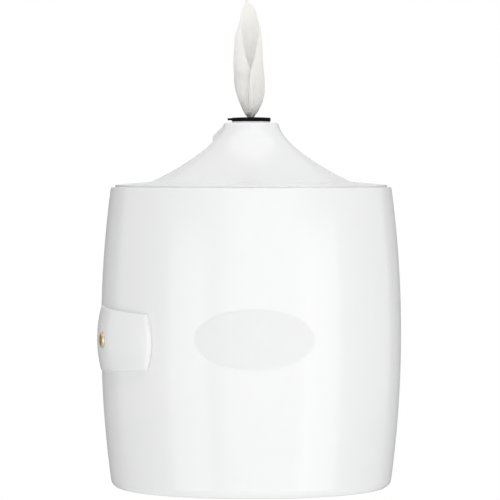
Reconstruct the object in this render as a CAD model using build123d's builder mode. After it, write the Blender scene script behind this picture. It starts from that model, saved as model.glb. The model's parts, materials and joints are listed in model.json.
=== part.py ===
"""Wall-mounted wipes dispenser: barrel front cover on a wall unit, with a nozzle on top.

Millimetres, +Z up. The origin is the middle of the four wall-screw holes, on the wall face.
The object stands out from the wall along -Y, and +X is to the right as seen from the front.
"""

import os
from math import cos, radians, sin, sqrt

from build123d import *

os.makedirs("parts", exist_ok=True)

# Barrel: the widest circle lies at Z = 0, and the side bulges on one long arc
belly_r = 133.0
side_arc_r = 970.0
rim_z = 130.0
base_z = -136.0
axis_out = 135.0
wall = 3.0
base_fillet_r = 8.0
rim_fillet_r = 1.4
rim_inner_fillet_r = 0.84
lip_width = 12.0

# Clearances between pieces
cover_gap = 0.8
flange_gap = 1.0
running_gap = 0.05
screw_seat_gap = 0.1
cam_gap = 0.2
soft_gap = 0.3
shell_front_gap = 1.5
sink = 1.0

# Rear shell on the wall
shell_inset = 12.0
shell_wall = 3.0
wall_plate_t = 4.0
shell_reach = 8.0
shell_corner_r = 10.0
shell_rear_r = 8.0
flange_t = 3.0
flange_end_margin = 14.0
wall_hole_pitch_x = 120.0
wall_hole_pitch_z = 120.0
wall_hole_r = 2.75
wall_boss_r = 8.0
wall_boss_t = 3.0

# Tongue of the wall plate that stands up behind the cone
tongue_top_rise = 57.0
tongue_top_half = 21.5
tongue_side_rise = 46.0
tongue_half = 32.5
tongue_flare_rise = 38.0
tongue_foot_half = 62.0
tongue_corner_r = 3.0

# Top cover: shallow ring, bell-shaped cone and flat-topped neck, as rises above the rim
cover_t = 3.0
cover_edge_rise = 1.8
ring_inner_r = 88.0
ring_inner_rise = 4.7
cone_foot_r = 80.0
cone_foot_rise = 8.7
cone_bend_r = 44.0
cone_bend_rise = 31.0
cone_throat_r = 29.8
cone_throat_rise = 44.5
neck_r = 24.6
neck_side_rise = 54.5
neck_top_rise = 56.8
neck_top_r = 22.4
cover_skirt_depth = 8.0
cover_skirt_t = 2.4
cover_back_r = 5.0
shoulder_swell = 0.4

# Nozzle
collar_r = 16.8
collar_t = 1.3
collar_edge_r = 0.65
collar_tube_r = 11.5
collar_tube_t = 2.0
collar_tube_depth = 10.0
barb_reach = 0.6
grommet_overhang = 0.5
grommet_t = 3.6
grommet_crown = 0.5
grommet_crown_at = 0.6
grommet_crown_share = 0.3
grommet_edge_r = 0.5
grommet_skirt_t = 2.0
grommet_skirt_depth = 6.0
grommet_tab_reach = 2.1
grommet_tab_w = 5.0
grommet_tab_t = 1.9
slit_count = 6
slit_w = 0.8
slit_reach = 4.5

# Wipe: stem through the nozzle, and the folded leaf above it
stem_r = 2.7
stem_foot_z = 30.0
stem_top_rise = 9.0
sheet_t = 1.5
sheet_share = 0.45
flap_gap_share = 0.8
flap_across = 0.86
flap_ahead = 0.62
flap_inner_share = 0.6
# Levels of the leaf: rise over the grommet, half width, half depth, half gap of the flaps, lean
leaf_levels = (
    (3.0, 4.4, 3.6, 0.3, -0.3),
    (14.5, 10.3, 6.2, 0.3, -0.4),
    (26.0, 13.1, 7.2, 0.4, -1.0),
    (41.0, 13.6, 7.4, 0.6, -2.0),
    (60.0, 12.5, 7.0, 4.6, -2.5),
    (75.0, 11.5, 6.4, 7.6, -2.4),
    (89.0, 7.9, 4.8, 6.4, -2.0),
    (99.0, 4.2, 2.6, 3.4, -2.6),
    (104.0, 1.2, 1.0, 0.6, -3.8),
)

# Base tray and roll
tray_t = 3.0
tray_side_gap = 9.2
tray_cover_gap = 5.4
tray_rim_h = 7.0
tray_rim_t = 2.4
tray_back_gap = 2.0
roll_side_gap = 11.6
roll_bore_r = 28.0
roll_h = 200.0
roll_edge_r = 3.0

# Screws
screw_r = 1.9
screw_head_r = 3.8
screw_head_t = 2.4
screw_recess_l = 3.12
screw_recess_w = 0.96
screw_recess_depth = 1.4
screw_head_round = 0.45
screw_point = 0.4
screw_hole_gap = 0.2
pilot_gap = 0.05
cover_screw_length = 10.5
tray_screw_length = 8.5
boss_r = 4.6
cover_boss_h = 10.0
cover_tab_t = 3.0
boss_inset = 6.0
cover_screw_rear = 22.0
cover_screw_behind_axis = 17.0
tray_screw_rear_inset = 16.0
tray_screw_rear = 24.0
tray_screw_front_inset = 8.0
tray_screw_front = 62.0

# Hinge at the right, hidden behind the barrel's silhouette
hinge_inset = 7.0
hinge_behind_axis = 4.0
hinge_z = 55.0
knuckle_r = 4.0
knuckle_h = 14.0
shell_knuckle_h = 9.0
knuckle_gap = 0.4
pin_r = 1.6
pin_head_r = 2.8
pin_head_t = 1.2
pin_tail = 1.0
pin_point = 0.5
pin_head_round = 0.5
lug_depth = 3.5

# Lock pad on the left side: a swollen block about its own upright axis
pad_proud = 3.0
pad_shift = 41.0
pad_axis_ahead = 24.0
pad_bulge_r = 112.0
pad_z = -3.0
pad_side_half = 30.6
pad_front_half = 23.6
pad_front_run = 110.0
pad_end_inset = 45.7
pad_end_bulge_r = 93.0
pad_edge_r = 3.2

# Cam lock in the pad
lock_angle = 19.0
lock_body_r = 6.1
lock_head_over = 0.4
lock_head_proud = 1.1
lock_spot_gap = 0.4
lock_spot_depth = 0.6
lock_body_tail = 5.8
lock_boss_over = 4.5
lock_boss_t = 2.1
plug_r = 5.2
plug_proud = 0.4
plug_tail = 0.2
tang_step = 1.5
tang_flat_cut = 1.2
keyway_w = 1.3
keyway_margin = 1.8
keyway_depth = 11.0
wafer_count = 5
wafer_first = 0.8
wafer_pitch = 1.7
wafer_t = 0.8
wafer_w = 4.7
wafer_end_gap = 0.9
wafer_window_h = 4.7
washer_over = 2.8
washer_t = 1.0
nut_over = 2.0
nut_t = 3.0
cam_t = 2.0
cam_w = 11.0
cam_reach = 21.0
cam_hub_wall = 3.0
cam_screw_r = 1.9
cam_screw_head_r = 4.2
cam_screw_head_t = 2.2
cam_screw_length = 6.0

# Keeper that the turned cam stands behind
keeper_t = 2.0
keeper_band_h = 10.0
keeper_low = 11.0
keeper_tab_gap = 1.0
keeper_plate_h = 22.0
keeper_plate_length = 25.0
keeper_plate_back = 2.0
keeper_screw_pitch = 13.0
keeper_cam_gap = 0.8
keeper_screw_length = 6.6
keeper_screw_edge = 6.0
keeper_tab_over = 1.8
keeper_boss_t = 4.0

# Pad screws, driven from inside the cover
pad_screw_angle = 60.0
pad_screw_rise = 13.0
pad_screw_length = 5.2

# Label
label_half_w = 51.0
label_half_h = 25.5
label_z = 1.0
label_t = 0.35

axis_y = -axis_out
hinge_x = belly_r - hinge_inset
hinge_y = axis_y + hinge_behind_axis
neck_top_z = rim_z + neck_top_rise
collar_top_z = neck_top_z + collar_t
grommet_top_z = collar_top_z + grommet_t
cover_edge_z = rim_z + cover_edge_rise
shell_top_z = cover_edge_z - cover_t
lip_top_z = base_z + wall
shell_low_z = lip_top_z + flange_gap
tray_low_z = shell_low_z + shell_wall
tray_top_z = tray_low_z + tray_t
shell_front_y = axis_y - shell_reach
grommet_r = collar_r + grommet_overhang

barrel_plane = Plane.XZ.offset(axis_out)
barrel_axis = Axis((0, axis_y, 0), (0, 0, 1))
front_turn = Axis((0, axis_y, 0), (0, 0, -1))


def side_r(z, inset=0.0):
    """Barrel radius at a height, for a surface set in from the outside."""
    return belly_r - side_arc_r + sqrt((side_arc_r - inset) ** 2 - z**2)


def save(part, name):
    """Label a finished piece and write it."""
    part.label = name
    export_step(part, f"parts/{name}.step")


def barrel_outline(inset, low, high):
    """Front-view outline of a box whose two sides follow the barrel."""
    with BuildLine() as outline:
        right = ThreePointArc(
            (side_r(low, inset), low), (side_r(0, inset), 0), (side_r(high, inset), high)
        )
        left = ThreePointArc(
            (-side_r(high, inset), high), (-side_r(0, inset), 0), (-side_r(low, inset), low)
        )
        Line(right @ 1, left @ 0)
        Line(left @ 1, right @ 0)
    return outline.line


def pan_screw(length, shank_r=screw_r, head_r=screw_head_r, head_t=screw_head_t):
    """Pan-head screw: the head stands on Z = 0, and the shank runs down from it."""
    with BuildPart() as screw:
        with BuildSketch():
            Circle(head_r)
        extrude(amount=head_t)
        fillet(screw.edges().group_by(Axis.Z)[-1], head_t * screw_head_round)
        with BuildSketch():
            Circle(shank_r)
        extrude(amount=-length)
        chamfer(screw.edges().group_by(Axis.Z)[0], shank_r * screw_point)
        with BuildSketch(Plane.XY.offset(head_t)):
            Rectangle(screw_recess_l, screw_recess_w)
            Rectangle(screw_recess_w, screw_recess_l)
        extrude(amount=-screw_recess_depth, mode=Mode.SUBTRACT)
    return screw.part


def screw_group(name, planes, length):
    """One node of equal screws, each standing on its own plane."""
    one = pan_screw(length)
    save(Compound(children=[plane * one for plane in planes]), name)


shell_inner_inset = shell_inset + shell_wall
tray_half = side_r(tray_low_z, shell_inner_inset) - tray_side_gap
tray_front_r = side_r(tray_low_z, wall) - tray_cover_gap
roll_r = side_r(tray_top_z, shell_inner_inset) - roll_side_gap
cover_boss_x = side_r(shell_top_z, shell_inner_inset) - boss_inset
cover_boss_low_z = shell_top_z - cover_boss_h
cover_screw_spots = [
    (side * cover_boss_x, -out)
    for side in (-1, 1)
    for out in (cover_screw_rear, axis_out - cover_screw_behind_axis)
]
tray_screw_spots = [
    (side * across, -out)
    for side in (-1, 1)
    for across, out in (
        (tray_half - tray_screw_rear_inset, tray_screw_rear),
        (tray_half - tray_screw_front_inset, tray_screw_front),
    )
]

# Lock frame: x towards the wall, y up, z inwards along the lock
lock_in = Vector(cos(radians(lock_angle)), sin(radians(lock_angle)), 0)
pad_r = belly_r - pad_shift
pad_centre = Vector(-pad_shift - pad_proud, axis_y - pad_axis_ahead, pad_z)
lock_plane = Plane(
    origin=pad_centre - lock_in * pad_r,
    x_dir=(-lock_in.Y, lock_in.X, 0),
    z_dir=lock_in,
)
lock_from_axis = lock_plane.origin - Vector(0, axis_y, pad_z)
lock_run = -lock_from_axis.dot(lock_in)
lock_wall_end = lock_run - sqrt(
    lock_run**2 - lock_from_axis.length**2 + side_r(pad_z, wall) ** 2
)
lock_boss_end = lock_wall_end + lock_boss_t
lock_body_end = lock_boss_end + lock_body_tail
plug_end = lock_body_end + plug_tail
lock_head_r = lock_body_r + lock_head_over
lock_boss_r = lock_body_r + lock_boss_over
tang_r = plug_r - tang_step
tang_flat = 2 * (tang_r - tang_flat_cut)
cam_start = plug_end + cam_gap
cam_end = cam_start + cam_t
nut_start = lock_boss_end + washer_t

# Keeper: a plate on the shell's left wall, and an arm that ends in a tab before the raised cam
keeper_low_z = pad_z + keeper_low
keeper_mid_z = keeper_low_z + keeper_band_h / 2
keeper_wall_x = -side_r(keeper_mid_z + keeper_plate_h / 2, shell_inner_inset)
keeper_plate_x = keeper_wall_x + keeper_t / 2
keeper_plate_front_y = shell_front_y + keeper_plate_back
raised_cam = [
    lock_plane.from_local_coords(Vector(-cam_w / 2, 0, along)) for along in (cam_start, cam_end)
]
keeper_arm_x = raised_cam[1].X + keeper_cam_gap + keeper_t / 2
keeper_tab_y = raised_cam[0].Y - keeper_tab_gap - keeper_t / 2
keeper_tab_x = raised_cam[0].X - keeper_tab_over
keeper_screw_y = [
    keeper_plate_front_y + keeper_screw_edge + place for place in (0.0, keeper_screw_pitch)
]

# Pad screws stand on the cover's inner face and point outwards
pad_screw_out = Vector(-sin(radians(pad_screw_angle)), -cos(radians(pad_screw_angle)), 0)
pad_screw_planes = [
    Plane(
        origin=Vector(0, axis_y, pad_z + rise)
        + pad_screw_out * (side_r(pad_z + rise, wall) - screw_seat_gap),
        x_dir=(0, 0, 1),
        z_dir=pad_screw_out * -1,
    )
    for rise in (-pad_screw_rise, pad_screw_rise)
]


def upright_rounds(low, height, spots, radius, mode=Mode.ADD):
    """Round bosses or holes at plan positions, from a height upwards."""
    with BuildSketch(Plane.XY.offset(low)) as rounds:
        with Locations(*spots):
            Circle(radius)
    extrude(rounds.sketch, amount=height, mode=mode)


def knuckles(centres, height, reach_x, reach_y):
    """Hinge knuckles on the upright hinge line, each with its web towards what carries it."""
    for centre in centres:
        with BuildSketch(Plane.XY.offset(centre - height / 2)) as knuckle:
            with Locations((hinge_x, hinge_y)):
                Circle(knuckle_r)
            with BuildLine():
                Polyline(
                    (hinge_x, reach_y[1]),
                    (reach_x, reach_y[1]),
                    (reach_x, reach_y[0]),
                    (hinge_x, reach_y[0]),
                    close=True,
                )
            make_face()
        extrude(knuckle.sketch, amount=height)


def hinge_bore():
    """Bore for both hinge pins, through every knuckle of the piece."""
    reach = hinge_z + knuckle_h + shell_knuckle_h + 2 * knuckle_gap
    with BuildSketch(Plane.XY.offset(-reach)) as bore:
        with Locations((hinge_x, hinge_y)):
            Circle(pin_r + running_gap)
    extrude(bore.sketch, amount=2 * reach, mode=Mode.SUBTRACT)


shell_knuckle_step = knuckle_h / 2 + knuckle_gap + shell_knuckle_h / 2
shell_knuckle_zs = [
    side * hinge_z + step * shell_knuckle_step for side in (-1, 1) for step in (-1, 1)
]
shell_knuckle_x = side_r(hinge_z + shell_knuckle_step + shell_knuckle_h, shell_inset) - sink

# Rear shell: wall plate with the tongue, side walls, floor, flange, knuckles and bosses
with BuildPart() as rear_shell:
    with BuildSketch(Plane.XZ):
        make_face(barrel_outline(shell_inset, shell_low_z, cover_edge_z).edges())
        fillet(vertices().group_by(Axis.Y)[0], shell_corner_r)
    extrude(amount=-shell_front_y)
    fillet(edges().filter_by(Plane.XZ).group_by(Axis.Y)[-1].sort_by(Axis.Z)[:-1], shell_rear_r)
    with BuildSketch(Plane.XZ.offset(wall_plate_t)):
        make_face(
            barrel_outline(shell_inner_inset, tray_low_z, cover_edge_z + wall).edges()
        )
        fillet(vertices().group_by(Axis.Y)[0], shell_corner_r - shell_wall)
    extrude(amount=-shell_front_y, mode=Mode.SUBTRACT)
    with BuildSketch(Plane.XY.offset(shell_top_z)):
        with Locations((0, -wall_plate_t)):
            Rectangle(2 * belly_r, -shell_front_y, align=(Align.CENTER, Align.MAX))
    extrude(amount=2 * cover_t, mode=Mode.SUBTRACT)
    with BuildSketch(Plane.XZ):
        with BuildLine():
            Polyline(
                (-tongue_foot_half, shell_top_z),
                (-tongue_half, rim_z + tongue_flare_rise),
                (-tongue_half, rim_z + tongue_side_rise),
                (-tongue_top_half, rim_z + tongue_top_rise),
                (tongue_top_half, rim_z + tongue_top_rise),
                (tongue_half, rim_z + tongue_side_rise),
                (tongue_half, rim_z + tongue_flare_rise),
                (tongue_foot_half, shell_top_z),
                close=True,
            )
        make_face()
        fillet(vertices().filter_by(lambda v: v.Y > rim_z), tongue_corner_r)
    extrude(amount=wall_plate_t)
    with BuildSketch(Plane.XZ.offset(-shell_front_y - flange_t)):
        make_face(
            barrel_outline(
                wall + flange_gap,
                shell_low_z + flange_end_margin,
                shell_top_z - flange_end_margin,
            ).edges()
        )
        make_face(
            barrel_outline(shell_inset + shell_wall / 2, base_z, rim_z).edges(), mode=Mode.SUBTRACT
        )
    extrude(amount=flange_t)
    with BuildSketch(Plane.XZ.offset(wall_plate_t)):
        with GridLocations(wall_hole_pitch_x, wall_hole_pitch_z, 2, 2):
            Circle(wall_boss_r)
    extrude(amount=wall_boss_t)
    with BuildSketch(Plane.XZ):
        with GridLocations(wall_hole_pitch_x, wall_hole_pitch_z, 2, 2):
            Circle(wall_hole_r)
    extrude(amount=wall_plate_t + wall_boss_t, mode=Mode.SUBTRACT)
    for spot_x, spot_y in cover_screw_spots:
        tab_w = boss_r + shell_wall
        with BuildSketch(Plane.XY.offset(cover_boss_low_z - cover_tab_t)):
            with Locations((spot_x, spot_y)):
                Circle(tab_w)
            with Locations(((spot_x + spot_x / abs(spot_x) * tab_w / 2), spot_y)):
                Rectangle(tab_w, 2 * tab_w)
        extrude(amount=cover_tab_t)
    upright_rounds(
        cover_boss_low_z - cover_tab_t,
        cover_tab_t,
        cover_screw_spots,
        screw_r + screw_hole_gap,
        Mode.SUBTRACT,
    )
    upright_rounds(base_z, shell_low_z - base_z, tray_screw_spots, boss_r)
    upright_rounds(
        tray_top_z - tray_screw_length - shell_wall / 2,
        tray_screw_length,
        tray_screw_spots,
        screw_r + pilot_gap,
        Mode.SUBTRACT,
    )
    with BuildSketch(Plane.YZ.offset(keeper_wall_x - shell_wall / 2)):
        with Locations(*[(spot, keeper_mid_z) for spot in keeper_screw_y]):
            Circle(boss_r)
    extrude(amount=-keeper_boss_t - shell_wall / 2)
    with BuildSketch(Plane.YZ.offset(keeper_wall_x + shell_wall)):
        with Locations(*[(spot, keeper_mid_z) for spot in keeper_screw_y]):
            Circle(screw_r + pilot_gap)
    extrude(amount=-keeper_screw_length - keeper_boss_t / 2, mode=Mode.SUBTRACT)
    knuckles(
        shell_knuckle_zs,
        shell_knuckle_h,
        shell_knuckle_x,
        (hinge_y - knuckle_r, hinge_y + knuckle_r),
    )
    hinge_bore()
save(rear_shell.part, "rear_shell")


# Top cover: lid of the shell, with the cone and neck
cover_r = side_r(rim_z, wall) - cover_gap
cover_side = side_r(cover_edge_z, shell_inset)


def cover_plan():
    """Plan of the top cover: half a disc in front of the axis, and the shell's width behind."""
    with Locations((0, axis_y)):
        Circle(cover_r)
        Rectangle(2 * cover_r, cover_r, align=(Align.CENTER, Align.MIN), mode=Mode.SUBTRACT)
    with Locations((0, -wall_plate_t - soft_gap)):
        Rectangle(
            2 * cover_side,
            axis_out - wall_plate_t,
            align=(Align.CENTER, Align.MAX),
        )
    fillet(vertices().group_by(Axis.Y)[-1], cover_back_r)


with BuildPart() as top_cover:
    with BuildSketch(Plane.XY.offset(shell_top_z)):
        cover_plan()
        with Locations((0, axis_y)):
            Circle(ring_inner_r - sink, mode=Mode.SUBTRACT)
    extrude(amount=cover_t)
    with BuildSketch(barrel_plane):
        with BuildLine():
            ring = Line((cover_r, cover_edge_z), (ring_inner_r, rim_z + ring_inner_rise))
            foot = Line(ring @ 1, (cone_foot_r, rim_z + cone_foot_rise))
            skirt = TangentArc(foot @ 1, (cone_bend_r, rim_z + cone_bend_rise), tangent=foot % 1)
            bell = TangentArc(
                skirt @ 1, (cone_throat_r, rim_z + cone_throat_rise), tangent=skirt % 1
            )
            throat = TangentArc(bell @ 1, (neck_r, rim_z + neck_side_rise), tangent=bell % 1)
            shoulder = ThreePointArc(
                throat @ 1,
                (
                    (neck_r + neck_top_r) / 2 + shoulder_swell,
                    (rim_z + neck_side_rise + neck_top_z) / 2 + shoulder_swell,
                ),
                (neck_top_r, neck_top_z),
            )
            Line(shoulder @ 1, (collar_tube_r + screw_hole_gap, neck_top_z))
            offset(amount=cover_t, side=Side.LEFT)
        make_face()
    revolve(axis=barrel_axis)
    with BuildSketch(Plane.XY.offset(shell_top_z)):
        cover_plan()
    extrude(amount=neck_top_z, mode=Mode.INTERSECT)
    with BuildSketch(Plane.XY.offset(shell_top_z)):
        with Locations((0, axis_y)):
            Circle(cover_r)
            Circle(cover_r - cover_skirt_t, mode=Mode.SUBTRACT)
        with Locations((0, shell_front_y - shell_front_gap)):
            Rectangle(
                2 * belly_r, 2 * belly_r, align=(Align.CENTER, Align.MIN), mode=Mode.SUBTRACT
            )
    extrude(amount=-cover_skirt_depth)
    upright_rounds(cover_boss_low_z, cover_boss_h + cover_t / 2, cover_screw_spots, boss_r)
    upright_rounds(
        cover_boss_low_z, cover_boss_h - sink, cover_screw_spots, screw_r + pilot_gap, Mode.SUBTRACT
    )
save(top_cover.part, "top_cover")

# Nozzle collar: flange on the neck and a barbed tube down through it
collar_bore_r = collar_tube_r - collar_tube_t
with BuildPart() as nozzle_collar:
    with BuildSketch(barrel_plane):
        with BuildLine():
            Polyline(
                (collar_bore_r, collar_top_z),
                (collar_r, collar_top_z),
                (collar_r, neck_top_z),
                (collar_tube_r, neck_top_z),
                (collar_tube_r, neck_top_z - cover_t - pilot_gap),
                (collar_tube_r + barb_reach, neck_top_z - cover_t - pilot_gap),
                (collar_tube_r - barb_reach, neck_top_z - collar_tube_depth),
                (collar_bore_r, neck_top_z - collar_tube_depth),
                close=True,
            )
        make_face()
        fillet(vertices().sort_by_distance((collar_r, collar_top_z))[0], collar_edge_r)
    revolve(axis=barrel_axis)
save(nozzle_collar.part, "nozzle_collar")

# Nozzle grommet: crowned ring with a slit bore, a skirt in the collar and a tab at the left
grommet_bore_r = stem_r + soft_gap
grommet_skirt_r = collar_bore_r - pilot_gap
with BuildPart() as nozzle_grommet:
    with BuildSketch(barrel_plane):
        with BuildLine():
            crown = ThreePointArc(
                (grommet_bore_r, grommet_top_z),
                (grommet_r * grommet_crown_at, grommet_top_z - grommet_crown * grommet_crown_share),
                (grommet_r, grommet_top_z - grommet_crown),
            )
            Polyline(
                crown @ 1,
                (grommet_r, collar_top_z),
                (grommet_skirt_r, collar_top_z),
                (grommet_skirt_r, collar_top_z - grommet_skirt_depth),
                (grommet_skirt_r - grommet_skirt_t, collar_top_z - grommet_skirt_depth),
                (grommet_skirt_r - grommet_skirt_t, collar_top_z),
                (grommet_bore_r, collar_top_z),
                crown @ 0,
            )
        make_face()
        fillet(
            vertices().sort_by_distance((grommet_r, grommet_top_z - grommet_crown))[0],
            grommet_edge_r,
        )
        fillet(vertices().sort_by_distance((grommet_r, collar_top_z))[0], grommet_edge_r)
    revolve(axis=barrel_axis)
    with BuildSketch(Plane.XY.offset(collar_top_z + (grommet_t - grommet_tab_t) / 2)):
        with Locations((-grommet_r, axis_y)):
            SlotCenterToCenter(grommet_tab_reach, grommet_tab_w)
    extrude(amount=grommet_tab_t)
    with BuildSketch(Plane.XY.offset(collar_top_z)):
        with Locations((0, axis_y)):
            with PolarLocations(grommet_bore_r + slit_reach / 2, slit_count):
                Rectangle(slit_reach + grommet_bore_r / 4, slit_w)
    extrude(amount=grommet_t, mode=Mode.SUBTRACT)
save(nozzle_grommet.part, "nozzle_grommet")

# Wipe roll: wound wipes with an open centre, drawn from inside
with BuildPart() as wipe_roll:
    with BuildSketch(Plane.XY.offset(tray_top_z)):
        with Locations((0, axis_y)):
            Circle(roll_r)
            Circle(roll_bore_r, mode=Mode.SUBTRACT)
    extrude(amount=roll_h)
    fillet(edges().group_by(Axis.Z)[-1] + edges().group_by(Axis.Z)[0], roll_edge_r)
save(wipe_roll.part, "wipe_roll")

# Base tray: floor that the roll stands on, with a rim round its front
with BuildPart() as base_tray:
    with BuildSketch(Plane.XY.offset(tray_low_z)):
        with Locations((0, axis_y)):
            Circle(tray_front_r)
        with Locations((0, shell_front_y - shell_front_gap)):
            Rectangle(
                2 * belly_r, 2 * belly_r, align=(Align.CENTER, Align.MIN), mode=Mode.SUBTRACT
            )
        with Locations((0, -wall_plate_t - tray_back_gap)):
            Rectangle(
                2 * tray_half,
                -shell_front_y - wall_plate_t,
                align=(Align.CENTER, Align.MAX),
            )
    extrude(amount=tray_t)
    with BuildSketch(Plane.XY.offset(tray_top_z)):
        with Locations((0, axis_y)):
            Circle(tray_front_r)
            Circle(tray_front_r - tray_rim_t, mode=Mode.SUBTRACT)
        with Locations((0, shell_front_y - shell_front_gap)):
            Rectangle(
                2 * belly_r, 2 * belly_r, align=(Align.CENTER, Align.MIN), mode=Mode.SUBTRACT
            )
    extrude(amount=tray_rim_h)
    upright_rounds(
        tray_low_z, tray_t, tray_screw_spots, screw_r + screw_hole_gap, Mode.SUBTRACT
    )
save(base_tray.part, "base_tray")

# Front cover: half of the barrel, with a turned-in lip at its base and two hinge knuckles
with BuildPart() as front_cover:
    with BuildSketch(barrel_plane):
        with BuildLine():
            outside = ThreePointArc((side_r(base_z), base_z), (belly_r, 0), (side_r(rim_z), rim_z))
            inside = ThreePointArc(
                (side_r(rim_z, wall), rim_z),
                (belly_r - wall, 0),
                (side_r(lip_top_z, wall), lip_top_z),
            )
            Line(outside @ 1, inside @ 0)
            Polyline(
                inside @ 1,
                (side_r(base_z) - lip_width, lip_top_z),
                (side_r(base_z) - lip_width, base_z),
                outside @ 0,
            )
        make_face()
        for spot, radius in (
            ((side_r(base_z), base_z), base_fillet_r),
            ((side_r(lip_top_z, wall), lip_top_z), base_fillet_r - wall),
            ((side_r(rim_z), rim_z), rim_fillet_r),
            ((side_r(rim_z, wall), rim_z), rim_inner_fillet_r),
        ):
            fillet(vertices().sort_by_distance(spot)[0], radius)
    revolve(axis=front_turn, revolution_arc=180)
    knuckles(
        (-hinge_z, hinge_z),
        knuckle_h,
        side_r(hinge_z + knuckle_h, wall / 2),
        (axis_y - lug_depth, hinge_y),
    )
    with BuildSketch(lock_plane.offset(lock_boss_end)):
        Circle(lock_boss_r)
    extrude(amount=-wall)
    with BuildSketch(lock_plane):
        Circle(lock_body_r + screw_hole_gap)
    extrude(amount=lock_body_end, mode=Mode.SUBTRACT)
    for plane in pad_screw_planes:
        with BuildSketch(plane.offset(sink)):
            Circle(screw_r + screw_hole_gap)
        extrude(amount=-2 * wall, mode=Mode.SUBTRACT)
    hinge_bore()
save(front_cover.part, "front_cover")

# Lock housing: swollen pad on the cover's left side, cut back to the barrel
pad_profile_plane = Plane(origin=pad_centre, x_dir=(-1, 0, 0), z_dir=(0, 1, 0))
pad_end_r = pad_r - pad_bulge_r + sqrt(pad_bulge_r**2 - (pad_side_half + pad_edge_r) ** 2)
with BuildPart() as lock_housing:
    with BuildSketch(pad_profile_plane):
        with BuildLine():
            swell = ThreePointArc(
                (pad_end_r, -pad_side_half - pad_edge_r),
                (pad_r, 0),
                (pad_end_r, pad_side_half + pad_edge_r),
            )
            Polyline(
                swell @ 1,
                (0, pad_side_half + pad_edge_r),
                (0, -pad_side_half - pad_edge_r),
                swell @ 0,
            )
        make_face()
    revolve(axis=Axis(pad_centre, (0, 0, 1)))
    with BuildSketch(Plane.YZ.offset(-belly_r * 2)):
        with BuildLine():
            Polyline(
                (axis_y, pad_z - pad_side_half),
                (axis_y, pad_z + pad_side_half),
                (axis_y - pad_front_run, pad_z + pad_front_half),
                (axis_y - pad_front_run, pad_z - pad_front_half),
                close=True,
            )
        make_face()
    extrude(amount=2 * belly_r + pad_centre.X, mode=Mode.INTERSECT)
    with BuildSketch(barrel_plane):
        with Locations((pad_end_inset - belly_r - pad_end_bulge_r, pad_z)):
            Circle(pad_end_bulge_r)
    extrude(amount=pad_front_run, mode=Mode.INTERSECT)
    swell_face = faces().filter_by(GeomType.PLANE, reverse=True).sort_by(Axis.X)[0]
    fillet(
        swell_face.edges().filter_by(lambda edge: edge.center().Y < axis_y - pad_edge_r),
        pad_edge_r,
    )
    with BuildSketch(barrel_plane):
        make_face(barrel_outline(0, base_z, rim_z).edges())
        Rectangle(2 * belly_r, 4 * rim_z, align=(Align.MAX, Align.CENTER), mode=Mode.SUBTRACT)
    revolve(axis=barrel_axis, mode=Mode.SUBTRACT)
    with BuildSketch(lock_plane.offset(lock_spot_depth)):
        Circle(lock_head_r + lock_spot_gap)
    extrude(amount=-pad_edge_r * 2, mode=Mode.SUBTRACT)
    with BuildSketch(lock_plane):
        Circle(lock_body_r + screw_hole_gap)
    extrude(amount=lock_body_end, mode=Mode.SUBTRACT)
    for plane in pad_screw_planes:
        with BuildSketch(plane):
            Circle(screw_r + pilot_gap)
        extrude(amount=-pad_screw_length - pilot_gap * 4, mode=Mode.SUBTRACT)
save(lock_housing.part, "lock_housing")

# Lock body: round head on the pad and a threaded barrel through the cover
with BuildPart() as lock_body:
    with BuildSketch(lock_plane.offset(-lock_head_proud)):
        Circle(lock_head_r)
    extrude(amount=lock_head_proud + lock_spot_depth)
    chamfer(faces().sort_by(Axis.X)[0].edges(), lock_head_proud / 2)
    with BuildSketch(lock_plane.offset(lock_spot_depth)):
        Circle(lock_body_r)
    extrude(amount=lock_body_end - lock_spot_depth)
    with BuildSketch(lock_plane.offset(-2 * lock_head_proud)):
        Circle(plug_r + running_gap)
    extrude(amount=lock_body_end + 3 * lock_head_proud, mode=Mode.SUBTRACT)
save(lock_body.part, "lock_body")

with BuildPart() as lock_washer:
    with BuildSketch(lock_plane.offset(lock_boss_end)):
        Circle(lock_body_r + washer_over)
        Circle(lock_body_r + screw_hole_gap, mode=Mode.SUBTRACT)
    extrude(amount=washer_t)
save(lock_washer.part, "lock_washer")

with BuildPart() as lock_nut:
    with BuildSketch(lock_plane.offset(nut_start)):
        RegularPolygon(lock_body_r + nut_over, 6, major_radius=False, rotation=30)
        Circle(lock_body_r + pilot_gap, mode=Mode.SUBTRACT)
    extrude(amount=nut_t)
save(lock_nut.part, "lock_nut")

# Lock plug: keyway in its face, a slot for each wafer, and a flatted tang for the cam
wafer_starts = [wafer_first + step * wafer_pitch for step in range(wafer_count)]
with BuildPart() as lock_plug:
    with BuildSketch(lock_plane.offset(-lock_head_proud - plug_proud)):
        Circle(plug_r)
    extrude(amount=lock_head_proud + plug_proud + plug_end)
    chamfer(faces().sort_by(Axis.X)[0].edges(), plug_proud)
    with BuildSketch(lock_plane.offset(plug_end)):
        Circle(tang_r)
        Rectangle(2 * tang_r, tang_flat, mode=Mode.INTERSECT)
    extrude(amount=cam_end - plug_end)
    with BuildSketch(lock_plane.offset(-lock_head_proud - plug_proud)):
        Rectangle(keyway_w, 2 * (plug_r - keyway_margin))
    extrude(amount=keyway_depth, mode=Mode.SUBTRACT)
    for start in wafer_starts:
        with BuildSketch(lock_plane.offset(start - running_gap)):
            Rectangle(wafer_w + 2 * running_gap, 3 * plug_r)
        extrude(amount=wafer_t + 2 * running_gap, mode=Mode.SUBTRACT)
    with BuildSketch(lock_plane.offset(cam_end)):
        Circle(cam_screw_r + pilot_gap)
    extrude(amount=-cam_screw_length - pilot_gap * 4, mode=Mode.SUBTRACT)
save(lock_plug.part, "lock_plug")

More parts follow.
